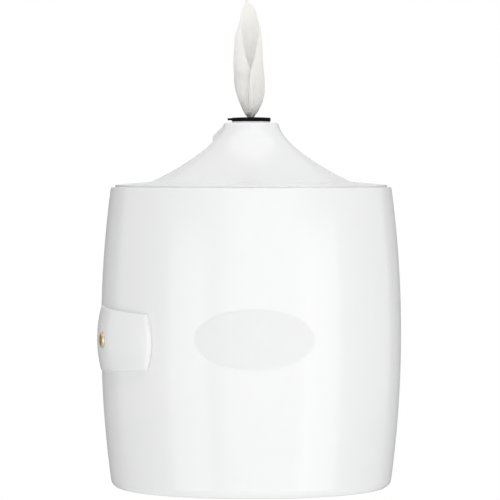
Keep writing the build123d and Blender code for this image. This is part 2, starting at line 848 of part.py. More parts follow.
with BuildPart() as lock_wafers:
    for start in wafer_starts:
        with BuildSketch(lock_plane.offset(start)):
            Rectangle(wafer_w, 2 * (plug_r - wafer_end_gap))
            Rectangle(keyway_w + running_gap, wafer_window_h, mode=Mode.SUBTRACT)
        extrude(amount=wafer_t)
save(lock_wafers.part, "lock_wafers")

# Cam: at rest it points to the wall, and a quarter turn raises it behind the keeper's tab
with BuildPart() as lock_cam:
    with BuildSketch(lock_plane.offset(cam_start)):
        Circle(tang_r + cam_hub_wall)
        Rectangle(cam_reach - cam_w / 2, cam_w, align=(Align.MIN, Align.CENTER))
        with Locations((cam_reach - cam_w / 2, 0)):
            Circle(cam_w / 2)
    extrude(amount=cam_t)
    with BuildSketch(lock_plane.offset(cam_start)):
        Circle(tang_r + pilot_gap)
        Rectangle(4 * tang_r, tang_flat + 2 * pilot_gap, mode=Mode.INTERSECT)
    extrude(amount=cam_t, mode=Mode.SUBTRACT)
save(lock_cam.part, "lock_cam")

cam_screw_part = lock_plane.offset(cam_end) * pan_screw(
    cam_screw_length, cam_screw_r, cam_screw_head_r, cam_screw_head_t
)
save(cam_screw_part, "cam_screw")

# Keeper
with BuildPart() as latch_keeper:
    with BuildSketch(Plane.XY.offset(keeper_low_z)):
        with BuildLine() as keeper_line:
            Polyline(
                (keeper_plate_x, keeper_plate_front_y + keeper_plate_length / 2),
                (keeper_plate_x, keeper_plate_front_y + keeper_t / 2),
                (keeper_arm_x, keeper_plate_front_y - (keeper_arm_x - keeper_plate_x)),
                (keeper_arm_x, keeper_tab_y),
                (keeper_tab_x, keeper_tab_y),
            )
        trace(keeper_line.line, line_width=keeper_t)
    extrude(amount=keeper_band_h)
    with BuildSketch(Plane.YZ.offset(keeper_plate_x - keeper_t / 2)):
        with Locations((keeper_plate_front_y + keeper_plate_length / 2, keeper_mid_z)):
            RectangleRounded(keeper_plate_length, keeper_plate_h, keeper_t)
    extrude(amount=keeper_t)
    with BuildSketch(Plane.YZ.offset(keeper_plate_x - keeper_t / 2)):
        with Locations(*[(spot, keeper_mid_z) for spot in keeper_screw_y]):
            Circle(screw_r + screw_hole_gap)
    extrude(amount=keeper_t, mode=Mode.SUBTRACT)
save(latch_keeper.part, "latch_keeper")

# Label
with BuildPart() as oval_label:
    with BuildSketch(barrel_plane):
        with Locations((0, label_z)):
            Ellipse(label_half_w, label_half_h)
    extrude(amount=2 * belly_r)
    with BuildSketch(barrel_plane):
        with BuildLine():
            label_out = ThreePointArc(
                (side_r(-label_half_w, -label_t), -label_half_w),
                (belly_r + label_t, 0),
                (side_r(label_half_w, -label_t), label_half_w),
            )
            label_in = ThreePointArc(
                (side_r(label_half_w), label_half_w),
                (belly_r, 0),
                (side_r(-label_half_w), -label_half_w),
            )
            Line(label_out @ 1, label_in @ 0)
            Line(label_in @ 1, label_out @ 0)
        make_face()
    revolve(axis=barrel_axis, mode=Mode.INTERSECT)
save(oval_label.part, "oval_label")


# Hinge pins
def hinge_pin(name, centre_z):
    """Headed pin, dropped in from above through one hinge's three knuckles."""
    half_stack = knuckle_h / 2 + knuckle_gap + shell_knuckle_h
    with BuildPart() as pin:
        with BuildSketch(Plane.XY.offset(centre_z + half_stack)):
            with Locations((hinge_x, hinge_y)):
                Circle(pin_head_r)
        extrude(amount=pin_head_t)
        with BuildSketch(Plane.XY.offset(centre_z + half_stack)):
            with Locations((hinge_x, hinge_y)):
                Circle(pin_r)
        extrude(amount=-2 * half_stack - pin_tail)
        chamfer(pin.edges().group_by(Axis.Z)[0], pin_point)
        fillet(pin.edges().group_by(Axis.Z)[-1], pin_head_round)
    save(pin.part, name)


hinge_pin("upper_hinge_pin", hinge_z)
hinge_pin("lower_hinge_pin", -hinge_z)

# Screws
screw_group(
    "top_cover_screws",
    [
        Plane(
            origin=(spot[0], spot[1], cover_boss_low_z - cover_tab_t),
            x_dir=(1, 0, 0),
            z_dir=(0, 0, -1),
        )
        for spot in cover_screw_spots
    ],
    cover_screw_length,
)
screw_group(
    "base_tray_screws",
    [Plane(origin=(spot[0], spot[1], tray_top_z)) for spot in tray_screw_spots],
    tray_screw_length,
)
screw_group(
    "latch_keeper_screws",
    [
        Plane(
            origin=(keeper_plate_x + keeper_t / 2, spot, keeper_mid_z),
            x_dir=(0, 1, 0),
            z_dir=(1, 0, 0),
        )
        for spot in keeper_screw_y
    ],
    keeper_screw_length,
)
screw_group("lock_housing_screws", pad_screw_planes, pad_screw_length)


# Wipe: one sheet gathered into a stem in the nozzle, then opening into a folded leaf
def leaf_section(rise, half_w, half_d, opening, lean):
    """One level of the leaf: a sheet bent round with its two flaps facing the front."""
    t = min(sheet_t, half_w * sheet_share)
    v = min(opening, half_w * flap_gap_share)
    flap_x = half_w * flap_across
    flap_y = -half_d * flap_ahead
    flap_in_y = flap_y + t * flap_inner_share
    with BuildSketch(Plane((lean, axis_y, grommet_top_z + rise))) as level:
        with BuildLine():
            left_out = ThreePointArc((-v, -half_d), (-flap_x, flap_y), (-half_w, 0))
            back_out = ThreePointArc(left_out @ 1, (0, half_d), (half_w, 0))
            right_out = ThreePointArc(back_out @ 1, (flap_x, flap_y), (v, -half_d))
            right_end = Line(right_out @ 1, (v, -half_d + t))
            right_in = ThreePointArc(right_end @ 1, (flap_x - t, flap_in_y), (half_w - t, 0))
            back_in = ThreePointArc(right_in @ 1, (0, half_d - t), (-half_w + t, 0))
            left_in = ThreePointArc(back_in @ 1, (-flap_x + t, flap_in_y), (-v, -half_d + t))
            Line(left_in @ 1, left_out @ 0)
        make_face()
    return level.sketch


leaf_sections = [leaf_section(*level) for level in leaf_levels]
with BuildPart() as wipe_tail:
    loft(leaf_sections)
    with BuildSketch(Plane.XY.offset(stem_foot_z)):
        with Locations((0, axis_y)):
            Circle(stem_r)
    extrude(amount=grommet_top_z + stem_top_rise - stem_foot_z)
save(wipe_tail.part, "wipe_tail")
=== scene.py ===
"""Finishes, wipe, roll, light and camera of a wall-mounted wipes dispenser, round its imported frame.

The frame fixes the hard pieces. This script dresses them, models the drawn wipe and the wound roll,
and sets a plain soft studio. Metres, Z up, the wall face at Y = 0 and the front towards -Y.
"""

import json
import logging
import math
from dataclasses import dataclass, field, fields
from enum import Enum
from typing import Any, ClassVar

import bpy
from mathutils import Euler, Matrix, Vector, noise

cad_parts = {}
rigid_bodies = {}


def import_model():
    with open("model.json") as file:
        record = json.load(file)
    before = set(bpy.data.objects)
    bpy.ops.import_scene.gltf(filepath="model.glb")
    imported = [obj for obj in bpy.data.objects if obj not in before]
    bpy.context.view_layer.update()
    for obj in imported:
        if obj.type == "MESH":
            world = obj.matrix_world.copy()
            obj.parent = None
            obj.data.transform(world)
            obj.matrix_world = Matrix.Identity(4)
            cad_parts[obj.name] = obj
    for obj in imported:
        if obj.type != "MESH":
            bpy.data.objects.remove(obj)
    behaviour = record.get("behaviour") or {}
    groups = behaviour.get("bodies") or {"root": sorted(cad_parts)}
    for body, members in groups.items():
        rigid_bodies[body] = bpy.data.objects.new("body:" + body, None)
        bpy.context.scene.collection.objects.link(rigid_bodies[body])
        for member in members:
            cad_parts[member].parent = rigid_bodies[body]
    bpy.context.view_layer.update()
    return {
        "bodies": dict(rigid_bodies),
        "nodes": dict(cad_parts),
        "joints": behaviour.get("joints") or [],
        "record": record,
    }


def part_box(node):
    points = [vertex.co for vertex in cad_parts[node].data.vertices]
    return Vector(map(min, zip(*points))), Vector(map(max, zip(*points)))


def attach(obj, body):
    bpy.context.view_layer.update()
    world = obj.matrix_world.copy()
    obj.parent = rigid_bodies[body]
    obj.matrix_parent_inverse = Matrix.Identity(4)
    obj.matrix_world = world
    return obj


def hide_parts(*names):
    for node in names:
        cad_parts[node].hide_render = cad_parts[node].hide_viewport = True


LOG = logging.getLogger("dispenser")
MM = 0.001
FULL_TURN = 2 * math.pi

Triple = tuple[float, float, float]


class Signal:
    """A shader socket that can be used in Python sums, each of which adds its Math node."""

    def __init__(self, tree: "ShaderTree", output: bpy.types.NodeSocket | None) -> None:
        """Hold one output socket and the tree that it belongs to."""
        self.tree = tree
        self.output = output

    def calculate(self, operation: str, first: Any, second: Any = 0.0) -> "Signal":
        """Add a Math node.

        Args:
            operation: Name of the Math node's operation.
            first: Signal or number for the first socket.
            second: Signal or number for the second socket.

        Returns:
            The node's result.
        """
        return self.tree.node("ShaderNodeMath", {"operation": operation}, {0: first, 1: second})

    def __add__(self, other: Any) -> "Signal":
        """Return self + other."""
        return self.calculate("ADD", self, other)

    def __radd__(self, other: Any) -> "Signal":
        """Return other + self."""
        return self.calculate("ADD", other, self)

    def __sub__(self, other: Any) -> "Signal":
        """Return self - other."""
        return self.calculate("SUBTRACT", self, other)

    def __rsub__(self, other: Any) -> "Signal":
        """Return other - self."""
        return self.calculate("SUBTRACT", other, self)

    def __mul__(self, other: Any) -> "Signal":
        """Return self * other."""
        return self.calculate("MULTIPLY", self, other)

    def __rmul__(self, other: Any) -> "Signal":
        """Return other * self."""
        return self.calculate("MULTIPLY", other, self)

    def __truediv__(self, other: Any) -> "Signal":
        """Return self / other."""
        return self.calculate("DIVIDE", self, other)

    def __pow__(self, power: float) -> "Signal":
        """Return self to a power."""
        return self.calculate("POWER", self, power)

    def wave(self) -> "Signal":
        """Return a sine of this value in radians, from 0 to 1."""
        return self.calculate("SINE", self) * 0.5 + 0.5

    def bearing(self, across: "Signal") -> "Signal":
        """Return the angle in radians of the point whose height is self."""
        return self.calculate("ARCTAN2", self, across)

    def between(self, low: float, high: float) -> "Signal":
        """Add a smooth step.

        Args:
            low: Value up to which the step is 0.
            high: Value from which the step is 1.

        Returns:
            The step's height.
        """
        return self.tree.node(
            "ShaderNodeMapRange",
            {"interpolation_type": "SMOOTHSTEP"},
            {"Value": self, "From Min": low, "From Max": high, "To Min": 0.0, "To Max": 1.0},
        )


class ShaderTree:
    """The node tree of one new material or of the world."""

    def __init__(self, tree: bpy.types.NodeTree) -> None:
        """Empty the tree and keep it."""
        self.tree = tree
        tree.nodes.clear()

    def node(
        self,
        kind: str,
        settings: dict[str, Any] | None = None,
        inputs: dict[Any, Any] | None = None,
        output: int | str | None = 0,
    ) -> Signal:
        """Add a node of any kind.

        Args:
            kind: The node's type name.
            settings: Properties that are set before the sockets.
            inputs: Values or signals for the sockets, by name or number.
            output: The output that is returned, or None at the end of a tree.

        Returns:
            One output of the new node.
        """
        made = self.tree.nodes.new(kind)
        for name, value in (settings or {}).items():
            setattr(made, name, value)
        for key, value in (inputs or {}).items():
            if isinstance(value, Signal):
                self.tree.links.new(value.output, made.inputs[key])
            else:
                made.inputs[key].default_value = value
        return Signal(self, None if output is None else made.outputs[output])

    def place(self) -> Signal:
        """Return the point's place on its object, which is its place in the frame."""
        return self.node("ShaderNodeTexCoord", output="Object")

    def cloth_place(self) -> Signal:
        """Return the point's place on the flat cloth, from the piece's own map."""
        return self.node("ShaderNodeTexCoord", output="UV")

    def part(self, point: Signal, name: str) -> Signal:
        """Return one coordinate of a point by its letter."""
        return self.node("ShaderNodeSeparateXYZ", inputs={0: point}, output=name)

    def mapped(self, point: Signal, origin: Vector, axis: Vector) -> Signal:
        """Move a point into a frame of its own.

        Args:
            point: The point in the object's frame.
            origin: Where the new frame stands.
            axis: Direction of the new frame's Z.

        Returns:
            The point in the new frame.
        """
        turn = axis.to_track_quat("Z", "Y").to_euler()
        return self.node(
            "ShaderNodeMapping",
            {"vector_type": "TEXTURE"},
            {"Vector": point, "Location": origin, "Rotation": turn},
        )

    def stretched(self, point: Signal, scale: Triple) -> Signal:
        """Stretch a point, so that a pattern read there runs long in some directions.

        Args:
            point: The point.
            scale: What each coordinate is multiplied by.

        Returns:
            The stretched point.
        """
        return self.node(
            "ShaderNodeVectorMath", {"operation": "MULTIPLY"}, {0: point, 1: scale}
        )

    def radius(self, local: Signal) -> Signal:
        """Return a point's distance from the Z axis of its frame."""
        flat = self.stretched(local, (1.0, 1.0, 0.0))
        return self.node("ShaderNodeVectorMath", {"operation": "LENGTH"}, {0: flat}, "Value")

    def grain(self, point: Signal, size: float, detail: float = 3.0, twist: float = 0.0) -> Signal:
        """Add a noise pattern.

        Args:
            point: Where the pattern is read.
            size: Size of its largest spots in metres.
            detail: How many finer layers it has.
            twist: How much it is distorted.

        Returns:
            Values from 0 to 1, about 0.5 on average.
        """
        return self.node(
            "ShaderNodeTexNoise",
            inputs={"Vector": point, "Scale": 1.0 / size, "Detail": detail, "Distortion": twist},
        )

    def shade(self, amount: Any, low: Triple | Signal, high: Triple | Signal) -> Signal:
        """Mix two colours.

        Args:
            amount: From 0, all low, to 1, all high.
            low: One colour, fixed or from other nodes.
            high: The other colour.

        Returns:
            The mixed colour.
        """
        first, second = (c if isinstance(c, Signal) else (*c, 1.0) for c in (low, high))
        return self.node(
            "ShaderNodeMix", {"data_type": "RGBA"}, {0: amount, 6: first, 7: second}, output=2
        )

    def relief(self, height: Signal, depth: float, under: Signal | None = None) -> Signal:
        """Raise and sink the surface.

        Args:
            height: Pattern from 0 to 1.
            depth: What a height of 1 stands for, in metres.
            under: A coarser relief that this one lies on.

        Returns:
            The surface's direction.
        """
        inputs = {"Strength": 1.0, "Distance": depth, "Height": height}
        if under is not None:
            inputs["Normal"] = under
        return self.node("ShaderNodeBump", inputs=inputs)

    def principled(self, **inputs: Any) -> Signal:
        """Add the main shader.

        Args:
            **inputs: Its sockets, with an underscore for each space in a name.

        Returns:
            The shader.
        """
        named = {name.replace("_", " "): value for name, value in inputs.items()}
        return self.node("ShaderNodeBsdfPrincipled", inputs=named)

    def surface(self, shader: Signal) -> None:
        """End the tree of a material at a shader."""
        self.node("ShaderNodeOutputMaterial", inputs={"Surface": shader}, output=None)


@dataclass(frozen=True)
class Finish:
    """What every finish has: a name and a way to make its material."""

    name: str

    def make(self) -> bpy.types.Material:
        """Make the finish's material.

        Returns:
            The new material.
        """
        material = bpy.data.materials.new(self.name)
        material.use_nodes = True
        tree = ShaderTree(material.node_tree)
        tree.surface(self.shader(tree))
        return material

    def shader(self, tree: ShaderTree) -> Signal:
        """Return the finish's shader, built in its tree."""
        raise NotImplementedError


@dataclass(frozen=True)
class MouldedPlastic(Finish):
    """Injection-moulded plastic with slow shade changes, uneven gloss and a fine skin."""

    colour: Triple
    tint: Triple
    roughness: float
    roughness_spread: float
    skin_size: float
    skin_depth: float
    wave_depth: float = 0.0
    scuff: float = 0.0
    slow_size: float = 70 * MM
    cloud_size: float = 9 * MM
    wave_size: float = 24 * MM
    hairline_w: float = 1.6 * MM
    hairline_run: float = 0.08

    def shader(self, tree: ShaderTree) -> Signal:
        """Build the plastic.

        Args:
            tree: The material's tree.

        Returns:
            Its shader.
        """
        place = tree.place()
        slow = tree.grain(place, self.slow_size, 2.0)
        cloud = tree.grain(place, self.cloud_size, 4.0)
        skin = tree.grain(place, self.skin_size, 2.0)
        along = tree.stretched(place, (1.0, 1.0, self.hairline_run))
        hairlines = tree.grain(along, self.hairline_w, 2.0, 0.4).between(0.66, 0.74) * self.scuff
        wave = tree.relief(tree.grain(place, self.wave_size, 1.0), self.wave_depth)
        return tree.principled(
            Base_Color=tree.shade(slow * 0.6 + cloud * 0.4, self.tint, self.colour),
            Roughness=self.roughness + (cloud - 0.5) * self.roughness_spread + hairlines,
            IOR=1.5,
            Normal=tree.relief(skin, self.skin_depth, wave),
        )


@dataclass(frozen=True)
class SoftRubber(Finish):
    """Black moulded rubber with a dull bloom and fine pits."""

    colour: Triple
    bloom: Triple
    bloom_size: float = 4 * MM
    pit_size: float = 0.35 * MM
    pit_depth: float = 0.03 * MM

    def shader(self, tree: ShaderTree) -> Signal:
        """Build the rubber.

        Args:
            tree: The material's tree.

        Returns:
            Its shader.
        """
        place = tree.place()
        bloom = tree.grain(place, self.bloom_size, 4.0)
        pits = tree.grain(place, self.pit_size, 2.0)
        return tree.principled(
            Base_Color=tree.shade(bloom.between(0.35, 0.75), self.colour, self.bloom),
            Roughness=0.5 + bloom * 0.2,
            Specular_IOR_Level=0.05,
            Normal=tree.relief(pits, self.pit_depth),
        )


@dataclass(frozen=True)
class TurnedMetal(Finish):
    """Metal turned on a lathe, with fine rings about its axis and a thread where it has one."""

    colour: Triple
    tarnish: Triple
    roughness: float
    origin: Vector
    axis: Vector
    thread_from: float = 1.0
    thread_pitch: float = 0.8 * MM
    thread_depth: float = 0.3 * MM
    run_in: float = 0.4 * MM
    ring_pitch: float = 0.22 * MM
    ring_depth: float = 0.012 * MM
    spot_size: float = 2.6 * MM

    def shader(self, tree: ShaderTree) -> Signal:
        """Build the turned metal.

        Args:
            tree: The material's tree.

        Returns:
            Its shader.
        """
        place = tree.place()
        local = tree.mapped(place, self.origin, self.axis)
        along = tree.part(local, "Z")
        angle = tree.part(local, "Y").bearing(tree.part(local, "X"))
        rings = (tree.radius(local) * (FULL_TURN / self.ring_pitch)).wave()
        helix = (along * (FULL_TURN / self.thread_pitch) + angle).wave()
        threaded = along.between(self.thread_from, self.thread_from + self.run_in)
        spots = tree.grain(place, self.spot_size, 4.0)
        fine = tree.relief(rings * (0.4 + spots * 0.6), self.ring_depth)
        return tree.principled(
            Base_Color=tree.shade(spots.between(0.42, 0.78), self.colour, self.tarnish),
            Metallic=1.0,
            Roughness=self.roughness + spots * 0.14 + rings * 0.05,
            Normal=tree.relief(helix * threaded, self.thread_depth, fine),
        )


@dataclass(frozen=True)
class PlatedSteel(Finish):
    """Plated or stamped metal with rolled or drawn streaks and small cloudy patches."""

    colour: Triple
    patch: Triple
    roughness: float
    streak: Triple
    patch_size: float = 3.2 * MM
    streak_w: float = 0.5 * MM
    streak_depth: float = 0.015 * MM

    def shader(self, tree: ShaderTree) -> Signal:
        """Build the plated metal.

        Args:
            tree: The material's tree.

        Returns:
            Its shader.
        """
        place = tree.place()
        patches = tree.grain(place, self.patch_size, 3.0)
        streaks = tree.grain(tree.stretched(place, self.streak), self.streak_w, 2.0)
        return tree.principled(
            Base_Color=tree.shade(patches.between(0.35, 0.7), self.patch, self.colour),
            Metallic=1.0,
            Roughness=self.roughness + patches * 0.12 + streaks * 0.1,
            Normal=tree.relief(streaks, self.streak_depth),
        )


@dataclass(frozen=True)
class LabelFilm(Finish):
    """Bare oval label film: satin grey, a little darker along its cut edge."""

    colour: Triple
    edge: Triple
    centre: Vector
    half_width: float
    half_height: float
    rim_from: float = 0.965
    rim_to: float = 0.995
    cloud_size: float = 14 * MM
    peel_size: float = 1.1 * MM
    peel_depth: float = 0.008 * MM

    def shader(self, tree: ShaderTree) -> Signal:
        """Build the film.

        Args:
            tree: The material's tree.

        Returns:
            Its shader.
        """
        place = tree.place()
        across = (tree.part(place, "X") - self.centre.x) / self.half_width
        up = (tree.part(place, "Z") - self.centre.z) / self.half_height
        rim = ((across * across + up * up) ** 0.5).between(self.rim_from, self.rim_to)
        cloud = tree.grain(place, self.cloud_size, 3.0)
        peel = tree.grain(place, self.peel_size, 2.0)
        body = tree.shade(cloud, self.edge, self.colour)
        return tree.principled(
            Base_Color=tree.shade(rim * 0.45, body, self.edge),
            Roughness=0.3 + cloud * 0.12,
            IOR=1.48,
            Normal=tree.relief(peel, self.peel_depth),
        )


@dataclass(frozen=True)
class WipeCloth(Finish):
    """Damp non-woven cloth: cloudy fibre web, fibres both ways and small pressed dimples."""

    colour: Triple
    thin: Triple
    glow_share: float = 0.5
    web_size: float = 3.4 * MM
    long_fibre: float = 0.32 * MM
    cross_fibre: float = 0.3 * MM
    dimple_pitch: float = 1.3 * MM
    depth: float = 0.07 * MM

    def shader(self, tree: ShaderTree) -> Signal:
        """Build the cloth, which lets some light through.

        Args:
            tree: The material's tree.

        Returns:
            Its shader.
        """
        flat = tree.cloth_place()
        web = tree.grain(flat, self.web_size, 5.0, 0.6)
        lengthwise = tree.grain(tree.stretched(flat, (1.0, 0.16, 1.0)), self.long_fibre, 3.0, 0.8)
        crosswise = tree.grain(tree.stretched(flat, (0.2, 1.0, 1.0)), self.cross_fibre, 3.0, 1.2)
        dimples = tree.node(
            "ShaderNodeTexVoronoi",
            {"feature": "SMOOTH_F1"},
            {"Vector": flat, "Scale": 1.0 / self.dimple_pitch, "Smoothness": 0.6, "Randomness": 0.5},
        )
        fibre = lengthwise * 0.6 + crosswise * 0.4
        tone = web * 0.6 + fibre * 0.4
        body = tree.principled(
            Base_Color=tree.shade(tone.between(0.3, 0.66), self.thin, self.colour),
            Roughness=0.72 + fibre * 0.2,
            IOR=1.4,
            Normal=tree.relief(fibre * 0.6 + dimples * 0.4, self.depth),
        )
        glow = tree.node("ShaderNodeBsdfTranslucent", inputs={"Color": (*self.colour, 1.0)})
        return tree.node("ShaderNodeMixShader", inputs={0: self.glow_share, 1: body, 2: glow})


@dataclass(frozen=True)
class WoundCloth(Finish):
    """The same cloth wound on a roll: layer lines on the ends with painted shade in their gaps, and a
    fibre web on the side.
    """

    colour: Triple
    gap: Triple
    centre: Vector
    layer: float
    low: float
    high: float
    end_depth: float = 2 * MM
    drift_size: float = 16 * MM
    drift: float = 5.0
    fibre_size: float = 0.6 * MM
    web_size: float = 1.6 * MM
    depth: float = 0.25 * MM

    def shader(self, tree: ShaderTree) -> Signal:
        """Build the wound cloth.

        Args:
            tree: The material's tree.

        Returns:
            Its shader.
        """
        place = tree.place()
        local = tree.mapped(place, self.centre, Vector((0.0, 0.0, 1.0)))
        angle = tree.part(local, "Y").bearing(tree.part(local, "X"))
        drift = tree.grain(place, self.drift_size, 3.0)
        turns = tree.radius(local) * (FULL_TURN / self.layer) - angle + drift * self.drift
        lines = turns.wave() ** 0.7
        height = tree.part(place, "Z")
        above_foot = height.between(self.low, self.low + self.end_depth)
        below_top = 1.0 - height.between(self.high - self.end_depth, self.high)
        on_end = 1.0 - above_foot * below_top
        fibre = tree.grain(tree.stretched(place, (1.0, 1.0, 0.25)), self.fibre_size, 4.0, 0.8)
        side = tree.grain(place, self.web_size, 4.0) * 0.5 + fibre * 0.5
        tone = lines * on_end + side * (1.0 - on_end)
        return tree.principled(
            # The darker colour is painted shade in the layer gaps on the ends, and the thin spots of
            # the fibre web on the side.
            Base_Color=tree.shade(tone.between(0.0, 0.7), self.gap, self.colour),
            Roughness=0.74 + fibre * 0.18,
            IOR=1.4,
            Normal=tree.relief(tone * 0.7 + fibre * 0.3, self.depth),
        )


class SeenBy(Enum):
    """The kinds of light path that see the white background."""

    CAMERA = "Is Camera Ray"
    GLOSSY = "Is Glossy Ray"
    TRANSMISSION = "Is Transmission Ray"


def deselect() -> None:
    """Deselect every object."""
    bpy.ops.object.select_all(action="DESELECT")


def pick(piece: bpy.types.Object) -> None:
    """Select one object alone and make it active."""
    deselect()
    piece.select_set(True)
    bpy.context.view_layer.objects.active = piece


def active_piece(name: str) -> bpy.types.Object:
    """Name the object that an operator has just added.

    Args:
        name: Name for the object and its mesh.

    Returns:
        The object.
    """
    piece = bpy.context.active_object
    piece.name = name
    piece.data.name = name
    return piece


def settle(piece: bpy.types.Object) -> None:
    """Write an object's place into its mesh, so that the object sits at the origin."""
    pick(piece)
    bpy.ops.object.transform_apply(location=True, rotation=True, scale=True)


def finish_with(piece: bpy.types.Object, kind: str, **settings: Any) -> None:
    """Add a modifier to a piece and apply it.

    Args:
        piece: The piece.
        kind: The modifier's type.
        **settings: Its settings.
    """
    pick(piece)
    made = piece.modifiers.new(kind.title(), kind)
    for name, value in settings.items():
        setattr(made, name, value)
    bpy.ops.object.modifier_apply(modifier=made.name)


def smooth_step(value: float) -> float:
    """Return a smooth rise from 0 to 1 as the value goes from 0 to 1."""
    t = min(max(value, 0.0), 1.0)
    return t * t * (3.0 - 2.0 * t)


def smooth_curve(knots: list[float], values: list[float], at: float) -> float:
    """Read a smooth curve through four knots, between the middle two.

    Args:
        knots: Where the four values stand, in rising order or equal at the ends.
        values: The curve's value at each knot.
        at: Where the curve is read.

    Returns:
        The curve's value.
    """
    least = 1e-6
    span = knots[2] - knots[1]
    t = min((at - knots[1]) / span, 1.0)
    into = (values[2] - values[0]) / max(knots[2] - knots[0], least) * span
    out = (values[3] - values[1]) / max(knots[3] - knots[1], least) * span
    square = t * t
    cube = square * t
    return (
        (2 * cube - 3 * square + 1) * values[1]
        + (cube - 2 * square + t) * into
        + (3 * square - 2 * cube) * values[2]
        + (cube - square) * out
    )


@dataclass
class DressedNodes:
    """A sub-assembly of frame nodes, each with its finish."""

    frame: dict[str, Any]
    made: ClassVar[dict[str, bpy.types.Material]] = {}

    def finishes(self) -> dict[str, Finish]:
        """Return the finish of each node."""
        raise NotImplementedError

    def dress(self) -> None:
        """Give each node its material in place of the frame's plain one."""
        for node, finish in self.finishes().items():
            if finish.name not in self.made:
                self.made[finish.name] = finish.make()
            for slot in self.frame["nodes"][node].material_slots:
                slot.material = self.made[finish.name]
            LOG.info("%s: %s", node, finish.name)


GLOSS_WHITE = MouldedPlastic(
    name="gloss_white_plastic",
    colour=(0.83, 0.832, 0.835),
    tint=(0.795, 0.797, 0.8),
    roughness=0.18,
    roughness_spread=0.06,
    skin_size=1.1 * MM,
    skin_depth=0.004 * MM,
    wave_depth=0.05 * MM,
    scuff=0.05,
)
LID_WHITE = MouldedPlastic(
    name="lid_white_plastic",
    colour=(0.85, 0.852, 0.855),
    tint=(0.82, 0.822, 0.825),
    roughness=0.17,
    roughness_spread=0.07,
    skin_size=1.0 * MM,
    skin_depth=0.004 * MM,
    wave_depth=0.05 * MM,
    scuff=0.05,
)
SATIN_WHITE = MouldedPlastic(
    name="satin_white_plastic",
    colour=(0.78, 0.782, 0.785),
    tint=(0.74, 0.742, 0.744),
    roughness=0.42,
    roughness_spread=0.1,
    skin_size=0.5 * MM,
    skin_depth=0.02 * MM,
    wave_depth=0.04 * MM,
    scuff=0.06,
)
GRAINED_WHITE = MouldedPlastic(
    name="grained_white_plastic",
    colour=(0.74, 0.742, 0.744),
    tint=(0.69, 0.692, 0.694),
    roughness=0.5,
    roughness_spread=0.12,
    skin_size=0.7 * MM,
    skin_depth=0.05 * MM,
    wave_depth=0.04 * MM,
    scuff=0.1,
)
BRIGHT_WHITE = MouldedPlastic(
    name="bright_white_plastic",
    colour=(0.86, 0.862, 0.864),
    tint=(0.83, 0.832, 0.834),
    roughness=0.18,
    roughness_spread=0.05,
    skin_size=0.8 * MM,
    skin_depth=0.003 * MM,
    scuff=0.03,
)
BLACK_RUBBER = SoftRubber("black_rubber", (0.003, 0.003, 0.0032), (0.008, 0.008, 0.0085))
SCREW_STEEL = PlatedSteel(
    "plated_screw_steel", (0.66, 0.67, 0.68), (0.5, 0.52, 0.55), 0.26, (1.0, 1.0, 1.0)
)
KEEPER_STEEL = PlatedSteel(
    "rolled_keeper_steel", (0.62, 0.63, 0.64), (0.5, 0.51, 0.53), 0.3, (1.0, 0.05, 1.0)
)
PIN_STEEL = PlatedSteel(
    "drawn_pin_steel", (0.58, 0.58, 0.59), (0.46, 0.46, 0.48), 0.24, (1.0, 1.0, 0.04)
)
CAM_STEEL = PlatedSteel(
    "plated_cam_steel", (0.64, 0.65, 0.66), (0.5, 0.52, 0.54), 0.3, (1.0, 1.0, 0.08)
)
WAFER_BRASS = PlatedSteel(
    "stamped_brass_wafers", (0.7, 0.56, 0.33), (0.56, 0.43, 0.24), 0.34, (0.1, 1.0, 1.0)
)
DAMP_CLOTH = WipeCloth("damp_wipe_cloth", (0.95, 0.946, 0.928), (0.905, 0.902, 0.888))


class Door(DressedNodes):
    """Front cover with its lock pad, label and pad screws."""

    def label_film(self) -> LabelFilm:
        """Fit the label's film to its node.

        Returns:
            The film's finish.
        """
        low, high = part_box("oval_label")
        return LabelFilm(
            name="satin_label_film",
            colour=(0.785, 0.787, 0.792),
            edge=(0.755, 0.757, 0.764),
            centre=(low + high) / 2,
            half_width=(high.x - low.x) / 2,
            half_height=(high.z - low.z) / 2,
        )

    def finishes(self) -> dict[str, Finish]:
        """Choose the door's finishes.

        Returns:
            The finish of each of its nodes.
        """
        return {
            "front_cover": GLOSS_WHITE,
            "lock_housing": GLOSS_WHITE,
            "lock_housing_screws": SCREW_STEEL,
            "oval_label": self.label_film(),
        }


class WallUnit(DressedNodes):
    """Rear shell on the wall with its tray, pins, keeper and screws."""

    def finishes(self) -> dict[str, Finish]:
        """Choose the wall unit's finishes.

        Returns:
            The finish of each of its nodes.
        """
        return {
            "rear_shell": SATIN_WHITE,
            "base_tray": GRAINED_WHITE,
            "base_tray_screws": SCREW_STEEL,
            "latch_keeper": KEEPER_STEEL,
            "latch_keeper_screws": SCREW_STEEL,
            "upper_hinge_pin": PIN_STEEL,
            "lower_hinge_pin": PIN_STEEL,
        }


class Lid(DressedNodes):
    """Top cover with its screws, the collar and the rubber grommet."""

    def finishes(self) -> dict[str, Finish]:
        """Choose the lid's finishes.

        Returns:
            The finish of each of its nodes.
        """
        return {
            "top_cover": LID_WHITE,
            "top_cover_screws": SCREW_STEEL,
            "nozzle_collar": BRIGHT_WHITE,
            "nozzle_grommet": BLACK_RUBBER,
        }


